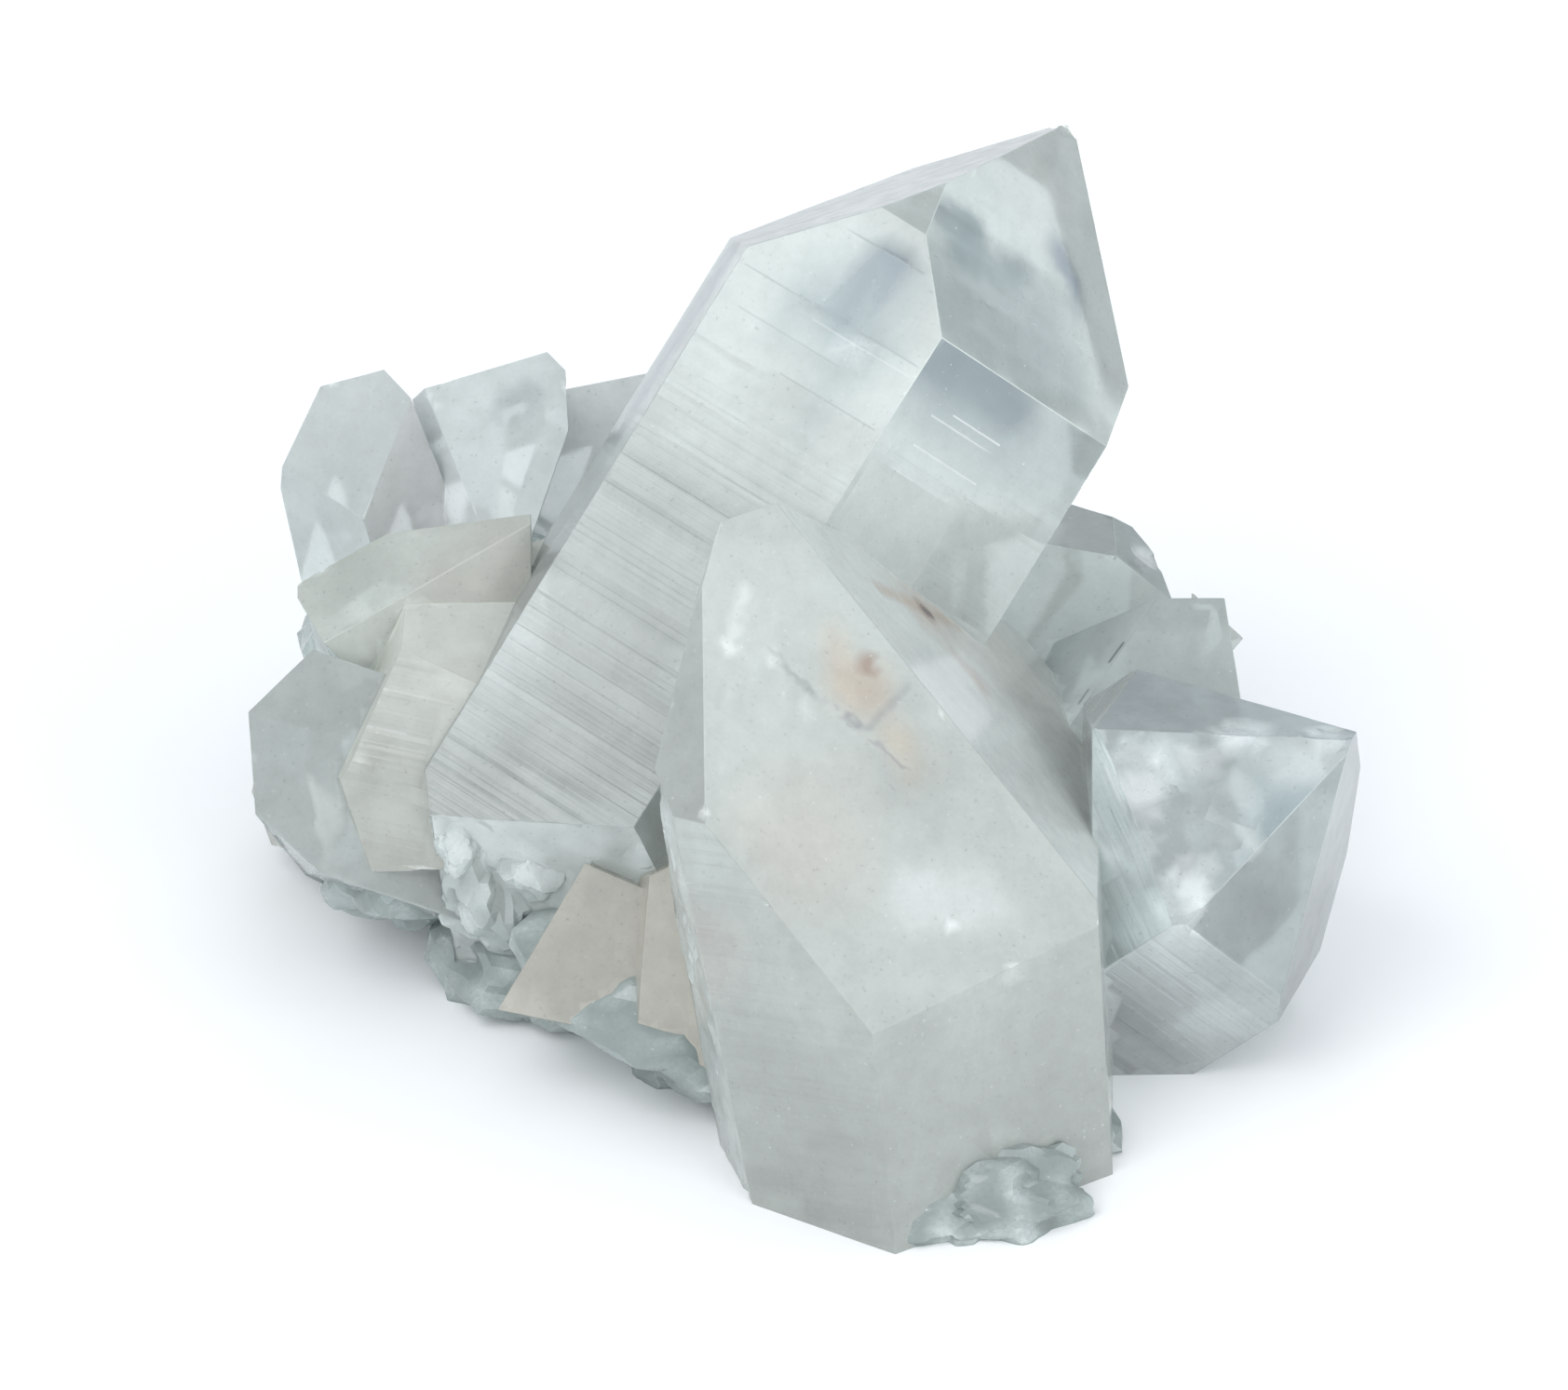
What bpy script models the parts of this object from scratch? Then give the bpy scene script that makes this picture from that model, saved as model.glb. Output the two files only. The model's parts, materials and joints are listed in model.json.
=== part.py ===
"""Quartz crystal cluster: pointed six-sided crystals grown together on a rough foot that is cut flat.

The cluster is one solid. Each crystal is a block trimmed by its own natural faces, and each broken
piece of the foot is a lumpy ball. They are joined, then the underside is cut flat at z = 0.
+Z is up and the broad side of the cluster faces -Y. Sizes are in millimetres and degrees, measured
from a point inside the cluster; an empty then brings the middle of the foot to the origin.
"""
import math
import random

import bmesh
import bpy
from mathutils import Vector, noise

MM = 0.001

# Middle of the cluster's footprint and the level of the cut, where the crystals are measured from.
FOOT_MIDDLE = (0.9, 7.7)
CUT_LEVEL = 4.5
CUT_BOX = 300.0

# A quartz point's end face leans this far in from the prism face below it.
END_FACE_TILT = 38.2
SIDES = 6
# Prism faces taper about a point this far below the tip.
TAPER_PIVOT = 25.0
# Side of the raw block that a crystal is trimmed from, more than twice the longest crystal.
RAW_BLOCK = 400.0
# Corners closer than this are one corner.
SAME_CORNER = 0.00001

# Small points scattered over the far side of the foot.
DRUSE_COUNT = 26
DRUSE_SEED = 11
DRUSE_WIDTH = (1.5, 3.2)
DRUSE_RING = (30.0, 24.0)
DRUSE_RING_MIDDLE = (-2.0, 24.0)
DRUSE_ARC = (-20.0, 200.0)
DRUSE_HEIGHT = (7.0, 20.0)
DRUSE_REACH = 7.0

QUARTZ_COLOUR = (0.66, 0.74, 0.72, 1.0)
QUARTZ_ROUGHNESS = 0.2


def direction(heading, elevation):
    """Unit vector for a heading from +X towards +Y and an elevation above level."""
    h = math.radians(heading)
    e = math.radians(elevation)
    return Vector((math.cos(e) * math.cos(h), math.cos(e) * math.sin(h), math.sin(e)))


def crystal_axes(lean, heading, turn):
    """Long axis of a crystal that leans from upright, its first prism face, and the way round."""
    axis = direction(heading, 90.0 - lean)
    under = direction(heading, -lean)
    beside = axis.cross(under)
    angle = math.radians(turn)
    first = under * math.cos(angle) + beside * math.sin(angle)
    return axis, first, axis.cross(first)


def crystal_planes(tip, lean, heading, turn, prism, ends, length, skew):
    """Point and outward normal of every face: six prism faces, six end faces and the hidden root."""
    axis, first, second = crystal_axes(lean, heading, turn)
    tip = Vector(tip)
    planes = []
    for row, tilt in enumerate((0.0, END_FACE_TILT)):
        for side in range(SIDES):
            extra_turn, extra_tilt = skew.get((row, side), (0.0, 0.0))
            angle = math.radians(360.0 / SIDES * side + extra_turn)
            lift = math.radians(tilt + extra_tilt)
            outward = first * math.cos(angle) + second * math.sin(angle)
            normal = outward * math.cos(lift) + axis * math.sin(lift)
            if row == 0:
                point = tip - axis * TAPER_PIVOT + normal * prism[side]
            else:
                point = tip - normal * ends[side]
            planes.append((point, normal))
    planes.append((tip - axis * length, -axis))
    return planes


def flats_about(middle, flats):
    """Point and outward normal of each flat given by heading, elevation and reach from a point."""
    planes = []
    for heading, elevation, reach in flats:
        normal = direction(heading, elevation)
        planes.append((Vector(middle) + normal * reach, normal))
    return planes


def trimmed_block(name, centre, planes):
    """Solid that is left of a cube after it is cut along each plane and the outer side removed."""
    bm = bmesh.new()
    bmesh.ops.create_cube(bm, size=RAW_BLOCK * MM)
    bmesh.ops.translate(bm, verts=bm.verts, vec=Vector(centre) * MM)
    for point, normal in planes:
        bmesh.ops.bisect_plane(
            bm,
            geom=bm.verts[:] + bm.edges[:] + bm.faces[:],
            dist=SAME_CORNER * MM,
            plane_co=point * MM,
            plane_no=normal,
            clear_outer=True,
        )
        rim = [edge for edge in bm.edges if edge.is_boundary]
        if rim:
            bmesh.ops.contextual_create(bm, geom=rim)
    bmesh.ops.recalc_face_normals(bm, faces=bm.faces)
    mesh = bpy.data.meshes.new(name)
    bm.to_mesh(mesh)
    bm.free()
    return bpy.data.objects.new(name, mesh)


def crystal(name, tip, lean, heading, turn, prism, ends, length, skew=None, breaks=()):
    """Pointed quartz crystal.

    prism holds how far each side face is from the axis through the tip, and ends how far each end face
    is below the tip. skew turns and tilts single faces, by row and side. A break is one more flat: its
    heading, elevation and reach from the tip.
    """
    planes = crystal_planes(tip, lean, heading, turn, prism, ends, length, skew or {})
    return trimmed_block(name, tip, planes + flats_about(tip, breaks))


def stub(name, middle, flats, root):
    """Stubby crystal: flats are the faces that stand free, and root bounds what is buried."""
    return trimmed_block(name, middle, flats_about(middle, flats + root))


def main_crystals():
    """The three crystals that give the cluster its outline."""
    return [
        crystal(
            "tall_leaning",
            tip=(25.4, 41.0, 70.0), lean=41.7, heading=38.2, turn=144.0,
            prism=(20.9, 22.5, 18.4, 15.5, 20.0, 8.4), ends=(0.0, -7.5, -0.1, -0.2, 0.5, 0.0), length=100.0,
            skew={(0, 0): (-0.5, 0.2), (0, 1): (-0.8, 0.7), (1, 0): (0.6, 2.0), (1, 3): (0.6, 2.6)},
            breaks=((-105.0, -14.5, 68.0), (-177.0, -6.0, 62.5)),
        ),
        crystal(
            "big_front",
            tip=(-0.6, -7.1, 58.0), lean=9.6, heading=138.6, turn=102.4,
            prism=(20.5, 24.1, 23.7, 38.2, 20.0, 13.1), ends=(-2.4, 2.4, 0.8, -12.0, -0.9, -3.7), length=75.0,
            skew={
                (0, 0): (-2.4, 1.7), (0, 1): (1.8, 0.1), (0, 2): (-3.4, -3.0), (0, 5): (0.7, -2.0),
                (1, 0): (0.8, 2.2), (1, 1): (-1.0, -1.7), (1, 2): (0.5, -3.8), (1, 5): (3.7, -7.9),
            },
            breaks=((158.0, -2.0, 4.2), (-162.0, -7.0, 16.4)),
        ),
        crystal(
            "right",
            tip=(49.1, -4.8, 34.0), lean=48.3, heading=-12.6, turn=-128.9,
            prism=(12.8, 15.2, 15.8, 14.0, 14.0, 14.0), ends=(-0.8, -1.0, 0.3, -3.2, -0.2, 0.1), length=60.0,
            skew={
                (0, 0): (-1.1, 0.1), (1, 0): (1.3, -2.7), (1, 1): (0.6, 2.3), (1, 2): (0.9, 2.5),
                (1, 5): (-0.3, 2.5),
            },
            breaks=((180.0, 0.0, 22.8),),
        ),
    ]


def stubs():
    """Shorter crystals around the big ones, most of them half buried."""
    down = (0, -90)
    return [
        stub(
            "left_striped", (-33, 8, 29),
            flats=((-98, 30, 7.5), (-66, 65, 9), (168, 79, 10), (-168, 31, 5), (-103, 11, 9), (-152, -9, 9),
                   (-81, -65, 13.5), (93, 28, 18.5), (126, 35, 7.3)),
            root=((0, 0, 14), (90, -20, 20)),
        ),
        stub(
            "left_white", (-38, 17, 36),
            flats=((-126, 64, 5), (89, 28, 2), (121, 23, 0), (175, -19, 3), (-166, -39, 3), (-76, 18, 9.9)),
            root=((0, 0, 16), (*down, 12)),
        ),
        stub(
            "left_low", (-42, 5, 24),
            flats=((-84, 21, 6), (135, 25, 4), (159, -11, 1), (-140, -33, 6), (-118, -49, 8), (68, 42, 8.5)),
            root=((0, 10, 14), (80, -10, 18)),
        ),
        stub(
            "back_left", (-39, 36, 38),
            flats=((-115, 34, 7.5), (-56, 11, 9.5), (-126, -3, 7.5), (147, 10, 2.5), (96, 36, 4), (39, 14, 3.5),
                   (34, 4, 4.5), (170, -10, 5)),
            root=((90, -20, 9), (*down, 30)),
        ),
        stub(
            "back_broad", (-26, 41, 38),
            flats=((-90, 47, 10), (12, -8, 4), (113, 39, 3), (38, 24, 6), (1, -26, 3.5), (-141, 12, 10),
                   (167, -26, 2.5)),
            root=((85, -15, 7), (*down, 30)),
        ),
        stub(
            "back_blue", (-16, 48, 34),
            flats=((-82, 41, 8.5), (107, 36, 2), (12, -24, 1)),
            root=((180, 10, 9), (80, -20, 6), (*down, 26)),
        ),
        stub(
            "behind_right", (28, 37, 24),
            flats=((-74, 56, 6.5), (-3, 79, 6), (68, 34, 7.5), (23, 28, 7), (11, -8, 5.5), (-1, 60, 6)),
            root=((180, 0, 20), (-90, 0, 16), (100, -10, 9), (*down, 18)),
        ),
        stub(
            "right_step", (37, 24, 25),
            flats=((-82, 47, 7), (93, 36, 2.5), (20, -10, 0), (-174, 49, 8.5)),
            root=((180, 0, 14), (-90, 0, 16), (100, -10, 9), (*down, 18)),
        ),
        stub(
            "front_beige", (-16, -7, 15),
            flats=((-83, 36, 6.5), (43, 57, 6), (-14, 1, 6), (153, 17, 2.5), (-125, -68, 6)),
            root=((90, 0, 14),),
        ),
        stub(
            "front_thin", (-9, -12, 15),
            flats=((-97, 36, 5), (-172, 11, 4), (142, 55, 8.5), (-156, -59, 4.5)),
            root=((0, 0, 8), (90, 0, 12), (*down, 10)),
        ),
        stub(
            "side_bud", (38.8, 22, 28),
            flats=((-60, 50, 1.3), (30, 40, 1.5), (10, -40, 1.5), (-50, -20, 1.3), (100, 0, 2)),
            root=((180, 0, 2.5),),
        ),
    ]


def far_crystals():
    """Crystals on the far side, smaller and plainer than those in front."""
    return [
        crystal(
            "far_left",
            tip=(-30.0, 55.0, 27.0), lean=62.0, heading=112.0, turn=20.0,
            prism=(7.0, 8.0, 7.5, 8.5, 7.0, 8.0), ends=(0.0, -0.8, 0.3, -0.5, 0.6, -0.3), length=36.0,
        ),
        crystal(
            "far_middle",
            tip=(-2.0, 55.0, 37.0), lean=38.0, heading=98.0, turn=50.0,
            prism=(8.5, 9.5, 8.0, 8.5, 9.0, 8.0), ends=(0.4, -1.0, 0.0, 0.6, -0.6, 0.0), length=44.0,
        ),
        crystal(
            "far_right",
            tip=(24.0, 55.0, 22.0), lean=68.0, heading=62.0, turn=10.0,
            prism=(6.0, 7.0, 6.5, 6.0, 7.5, 6.0), ends=(0.0, 0.5, -0.6, 0.0, 0.4, -0.5), length=30.0,
        ),
        crystal(
            "far_low",
            tip=(9.0, 56.0, 14.0), lean=78.0, heading=85.0, turn=35.0,
            prism=(4.0, 4.5, 4.0, 4.2, 4.6, 4.0), ends=(0.0, 0.3, -0.3, 0.0, 0.3, -0.2), length=26.0,
        ),
        crystal(
            "right_low",
            tip=(46.0, 26.0, 16.0), lean=66.0, heading=12.0, turn=25.0,
            prism=(5.0, 5.5, 5.2, 5.0, 5.6, 5.0), ends=(0.0, 0.4, -0.4, 0.2, 0.4, -0.5), length=26.0,
        ),
    ]


def druse():
    """Small points over the far side of the foot, pointing out and up."""
    rng = random.Random(DRUSE_SEED)
    points = []
    for i in range(DRUSE_COUNT):
        around = DRUSE_ARC[0] + (DRUSE_ARC[1] - DRUSE_ARC[0]) * (i + rng.uniform(-0.3, 0.3)) / (DRUSE_COUNT - 1)
        height = rng.uniform(*DRUSE_HEIGHT)
        half = rng.uniform(*DRUSE_WIDTH) / 2.0 * rng.choice((1.0, 1.0, 1.5))
        lean = rng.uniform(35.0, 75.0)
        root = Vector((
            DRUSE_RING_MIDDLE[0] + DRUSE_RING[0] * math.cos(math.radians(around)),
            DRUSE_RING_MIDDLE[1] + DRUSE_RING[1] * math.sin(math.radians(around)),
            height,
        ))
        heading = around + rng.uniform(-25.0, 25.0)
        tip = root + direction(heading, 90.0 - lean) * DRUSE_REACH * rng.uniform(0.5, 1.0)
        points.append(crystal(
            f"druse_{i}", tip, lean, heading, rng.uniform(0.0, 60.0),
            prism=[half * rng.uniform(0.9, 1.15) for _ in range(SIDES)],
            ends=[rng.uniform(-0.2, 0.2) for _ in range(SIDES)],
            length=DRUSE_REACH * 2.2,
        ))
    return points


def lump(name, centre, radii, seed, roughness=0.18):
    """Broken piece of the foot: a ball pushed in and out by smooth noise."""
    bm = bmesh.new()
    bmesh.ops.create_icosphere(bm, subdivisions=2, radius=1.0)
    offset = Vector((seed * 3.7, seed * 1.9, seed * 5.3))
    for vertex in bm.verts:
        swell = 1.0 + 2.0 * roughness * noise.noise(vertex.co * 1.6 + offset)
        swell += 0.5 * roughness * noise.noise(vertex.co * 4.1 + offset)
        ball = vertex.co * swell
        vertex.co = [(ball[i] * radii[i] + centre[i]) * MM for i in range(3)]
    mesh = bpy.data.meshes.new(name)
    bm.to_mesh(mesh)
    bm.free()
    return bpy.data.objects.new(name, mesh)


def foot_lumps():
    """Broken, lumpy rock quartz that the crystals grow out of: middle and half-widths of each."""
    places = (
        ((2, 6, 9), (26, 26, 12)),
        ((15.5, -32, 5.5), (10, 7, 5)),
        ((-8, -8.5, 5.5), (6, 6.5, 4)),
        ((-22, 2, 7), (8, 8, 6)),
        ((-34, 8.5, 15), (7.5, 8.5, 6.5)),
        ((-30, 20, 10), (11, 11, 9)),
        ((23.5, -20, 5), (4.8, 7, 4.5)),
        ((27, 20, 11), (13, 15, 11)),
        ((0, 34, 12), (24, 13, 13)),
        ((-27, 32, 17), (17, 12, 14)),
    )
    return [lump(f"foot_{i}", centre, radii, seed=i) for i, (centre, radii) in enumerate(places)]


def quartz_material():
    """Milky, slightly green-grey quartz."""
    material = bpy.data.materials.new("milky_quartz")
    material.use_nodes = True
    shader = material.node_tree.nodes["Principled BSDF"]
    shader.inputs["Base Color"].default_value = QUARTZ_COLOUR
    shader.inputs["Roughness"].default_value = QUARTZ_ROUGHNESS
    shader.inputs["Metallic"].default_value = 0.0
    return material


def new_collection(name):
    made = bpy.data.collections.new(name)
    bpy.context.scene.collection.children.link(made)
    return made


def hide_as_tool(tool):
    """Mark a shape that only cuts or joins another one."""
    tool.hide_render = True
    tool.display_type = "WIRE"


def ground_cutter():
    """Large block whose top is the level at which the foot is cut."""
    bm = bmesh.new()
    bmesh.ops.create_cube(bm, size=CUT_BOX * MM)
    mesh = bpy.data.meshes.new("ground_cut")
    bm.to_mesh(mesh)
    bm.free()
    cutter = bpy.data.objects.new("ground_cut", mesh)
    cutter.location = (0.0, 0.0, (CUT_LEVEL - CUT_BOX / 2.0) * MM)
    return cutter


def add_boolean(target, name, operation):
    modifier = target.modifiers.new(name, "BOOLEAN")
    modifier.operation = operation
    modifier.solver = "EXACT"
    return modifier


def build():
    for old in list(bpy.data.objects):
        bpy.data.objects.remove(old, do_unlink=True)
    parts = new_collection("quartz_crystal_cluster")
    grown = new_collection("grown_together")
    cutters = new_collection("cutters")

    lumps = foot_lumps()
    cluster = lumps.pop(0)
    cluster.name = "quartz_cluster"
    cluster.data.materials.append(quartz_material())
    parts.objects.link(cluster)

    for shape in main_crystals() + stubs() + far_crystals() + druse() + lumps:
        hide_as_tool(shape)
        grown.objects.link(shape)
    join = add_boolean(cluster, "grow_together", "UNION")
    join.operand_type = "COLLECTION"
    join.collection = grown

    ground = ground_cutter()
    hide_as_tool(ground)
    cutters.objects.link(ground)
    foot = add_boolean(cluster, "flat_foot", "DIFFERENCE")
    foot.object = ground

    middle = bpy.data.objects.new("foot_middle", None)
    middle.location = (-FOOT_MIDDLE[0] * MM, -FOOT_MIDDLE[1] * MM, -CUT_LEVEL * MM)
    parts.objects.link(middle)
    for item in (cluster, ground, *grown.objects):
        item.parent = middle


build()
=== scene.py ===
"""Looks for the quartz crystal cluster: fine crystals, milky glassy material, floor, light, camera."""

import json
import math
import random

import bmesh
import bpy
import numpy as np
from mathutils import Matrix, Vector, noise

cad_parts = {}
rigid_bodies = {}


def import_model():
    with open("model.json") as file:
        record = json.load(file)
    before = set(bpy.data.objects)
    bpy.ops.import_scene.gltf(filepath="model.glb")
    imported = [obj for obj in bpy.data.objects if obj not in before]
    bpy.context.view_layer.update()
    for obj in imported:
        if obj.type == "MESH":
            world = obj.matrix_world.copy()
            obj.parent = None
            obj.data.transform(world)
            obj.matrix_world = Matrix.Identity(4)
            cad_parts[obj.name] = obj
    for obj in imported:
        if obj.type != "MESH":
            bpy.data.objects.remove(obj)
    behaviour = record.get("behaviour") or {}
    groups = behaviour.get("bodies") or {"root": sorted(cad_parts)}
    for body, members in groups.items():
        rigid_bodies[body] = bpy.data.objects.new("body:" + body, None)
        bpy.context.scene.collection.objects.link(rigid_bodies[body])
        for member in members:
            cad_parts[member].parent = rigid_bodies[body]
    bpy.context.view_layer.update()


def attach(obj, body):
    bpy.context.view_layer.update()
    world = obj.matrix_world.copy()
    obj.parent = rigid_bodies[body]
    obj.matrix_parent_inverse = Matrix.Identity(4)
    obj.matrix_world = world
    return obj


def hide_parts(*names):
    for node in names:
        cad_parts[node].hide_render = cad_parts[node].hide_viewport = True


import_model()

# Lengths are in millimetres and angles in degrees, except for what the scene itself holds, in metres.
MM = 0.001
FOOT_MIDDLE = (0.9, 7.7)
CUT_LEVEL = 4.5
CUT_BOX = 300.0
# Quartz: six side faces, with end faces that lean in; side faces tilt about a level below the tip.
END_FACE_TILT = 38.2
SIDES = 6
TAPER_PIVOT = 25.0
RAW_BLOCK = 400.0
SAME_CORNER = 0.00001
# A mesh face belongs to a plane that is this near and faces this nearly the same way (cosine).
IN_PLANE = 0.001
SAME_WAY = 0.99999

# Small points round the back of the foot.
DRUSE_COUNT = 26
DRUSE_SEED = 11
DRUSE_WIDTH = (1.5, 3.2)
DRUSE_RING = (30.0, 24.0)
DRUSE_RING_MIDDLE = (-2.0, 24.0)
DRUSE_ARC = (-20.0, 200.0)
DRUSE_HEIGHT = (7.0, 20.0)
DRUSE_REACH = 7.0

# The relief and the outlines of the clouds come from vector noise, which this makes the same each run.
NOISE_SEED = 1795837508
noise.seed_set(NOISE_SEED)

# Side of the small squares that faces are divided into: in front, at the back, and along growth lines.
GRID = 0.9
BACK_GRID = 1.6
LINED_GRID = 2.2
# How far edges are worn back, and how far in from them one more cut runs.
EDGE_WEAR = 0.06
EDGE_INSET = 0.55
# Distances in millimetres: cuts that snap to corners, corners that are one, a corner that is on a face.
SLICE_SNAP = 0.004
WELD = 0.002
ON_FACE = 0.02
# Width of the slope at each side of a growth line, and reach and greatest depth of the chips at edges.
LINE_SLOPE = 0.08
CHIP_REACH = 0.6
CHIP_DEPTH = 0.55
# Planes further round than this are at the far side of a crystal: cosine of the angle between them.
FAR_SIDE = -0.6
SHARP_DEGREES = 18.0

# The stone: how it bends, mirrors and dims light, its dark specks and painted sparkle, and the depth of
# its fine relief.
QUARTZ_IOR = 1.544
SPECULAR_LEVEL = 0.35
INSIDE_COLOUR = (0.70, 0.80, 0.79, 1.0)
INSIDE_DENSITY = 5.0
DARK_SPECK = (0.35, 0.40, 0.38, 1.0)
PAINTED_SPARKLE = (0.95, 0.97, 0.96, 1.0)
FROST_COLOUR = (0.90, 0.94, 0.95, 1.0)
BUMP_MM = 0.12
# How near a zone's number has to be to count as that zone.
SAME_ZONE = 0.1
# Few turns of light inside the stone are enough for its milky depth.
LIGHT_TURNS = 4

# Floor in metres, and the room's colour and strength.
FLOOR_REACH = 3.0
ROOM_IN_FRONT = (0.94, 0.97, 1.0, 1.0)
ROOM_BEHIND = (0.34, 0.38, 0.44, 1.0)
ROOM_STRENGTH = 1.15
LIGHTS_AIM = (0.0, 0.0, 25.0)

# Width in pixels of the picture that the camera was fitted to, and size of one of them at the target.
PICTURE_WIDTH = 1684.0
PIXEL_MM = 0.08
CAMERA_TARGET = (0.0, 0.0, 35.0)
CAMERA_DISTANCE = 600.0
CAMERA_ELEVATION = 30.0
SENSOR_WIDTH = 36.0


def direction(heading, elevation):
    """Unit vector toward a heading, counted from +X toward +Y, and an elevation."""
    h = math.radians(heading)
    e = math.radians(elevation)
    return Vector((math.cos(e) * math.cos(h), math.cos(e) * math.sin(h), math.sin(e)))


def crystal_axes(lean, heading, turn):
    """Long axis of a crystal, and the two directions across it that its side faces are counted from."""
    axis = direction(heading, 90.0 - lean)
    under = direction(heading, -lean)
    beside = axis.cross(under)
    angle = math.radians(turn)
    first = under * math.cos(angle) + beside * math.sin(angle)
    return axis, first, axis.cross(first)


def crystal_planes(tip, lean, heading, turn, prism, ends, length, skew):
    """Point and outward normal of the six side faces, the six end faces and the base."""
    axis, first, second = crystal_axes(lean, heading, turn)
    tip = Vector(tip)
    planes = []
    for row, tilt in enumerate((0.0, END_FACE_TILT)):
        for side in range(SIDES):
            extra_turn, extra_tilt = skew.get((row, side), (0.0, 0.0))
            angle = math.radians(360.0 / SIDES * side + extra_turn)
            lift = math.radians(tilt + extra_tilt)
            outward = first * math.cos(angle) + second * math.sin(angle)
            normal = outward * math.cos(lift) + axis * math.sin(lift)
            if row == 0:
                point = tip - axis * TAPER_PIVOT + normal * prism[side]
            else:
                point = tip - normal * ends[side]
            planes.append((point, normal))
    planes.append((tip - axis * length, -axis))
    return planes


def flats_about(middle, flats):
    """Point and outward normal of single flats, each a heading, an elevation and a distance."""
    planes = []
    for heading, elevation, reach in flats:
        normal = direction(heading, elevation)
        planes.append((Vector(middle) + normal * reach, normal))
    return planes


# Tint of the quartz by crystal: linear red, green, blue.
PALE = (0.70, 0.745, 0.72)
TINTS = {
    "tall_leaning": (0.755, 0.81, 0.78),
    "big_front": (0.62, 0.665, 0.635),
    "right": (0.72, 0.80, 0.80),
    "back_left": (0.78, 0.84, 0.83),
    "back_broad": (0.84, 0.90, 0.89),
    "back_blue": (0.96, 1.0, 1.0),
    "right_step": (0.66, 0.73, 0.71),
    "behind_right": (0.71, 0.78, 0.75),
    "left_striped": (0.72, 0.74, 0.68),
    "left_white": (0.80, 0.85, 0.79),
    "left_low": (0.61, 0.66, 0.64),
    "front_beige": (0.83, 0.81, 0.73),
    "front_thin": (0.86, 0.84, 0.74),
    "foot": (0.51, 0.595, 0.575),
    "granular": (0.72, 0.79, 0.77),
}
# Painted light and shade: single faces, where one differs, made lighter or darker as the light falls on
# them.
FACE_LIGHT_AND_SHADE = {
    ("tall_leaning", 0): 0.90,
    ("tall_leaning", 2): 0.90,
    ("tall_leaning", 6): 0.75,
    ("tall_leaning", 7): 0.80,
    ("tall_leaning", 8): 0.95,
    ("tall_leaning", 13): 1.25,
    ("big_front", 0): 1.05,
    ("big_front", 2): 1.50,
    ("big_front", 6): 0.82,
    ("big_front", 7): 1.09,
    ("big_front", 8): 1.32,
    ("big_front", 14): 1.15,
    ("right", 0): 1.25,
    ("right", 1): 1.30,
    ("right", 5): 1.40,
    ("right", 6): 0.90,
    ("right", 7): 0.84,
    ("right", 8): 0.70,
    ("right", 11): 0.95,
    ("right", 13): 1.40,
    ("behind_right", 1): 0.70,
    ("behind_right", 5): 0.88,
    ("right_step", 0): 0.88,
    ("right_step", 3): 1.40,
    ("back_left", 0): 0.86,
    ("back_left", 1): 1.28,
    ("back_broad", 5): 1.15,
    ("left_striped", 1): 1.15,
    ("left_striped", 3): 1.35,
}

# Share of the light that goes through, by crystal.
CLEAR = {
    "tall_leaning": 0.62,
    "big_front": 0.46,
    "right": 0.62,
    "behind_right": 0.55,
    "right_step": 0.55,
    "left_striped": 0.54,
    "left_white": 0.56,
    "left_low": 0.58,
    "front_beige": 0.54,
    "front_thin": 0.54,
}
USUAL_CLEAR = 0.5

# Faces of the broad front crystal that carry fine marks, which stop at the face's edges.
ZONES = {("big_front", 7): 1, ("big_front", 8): 2}
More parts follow.
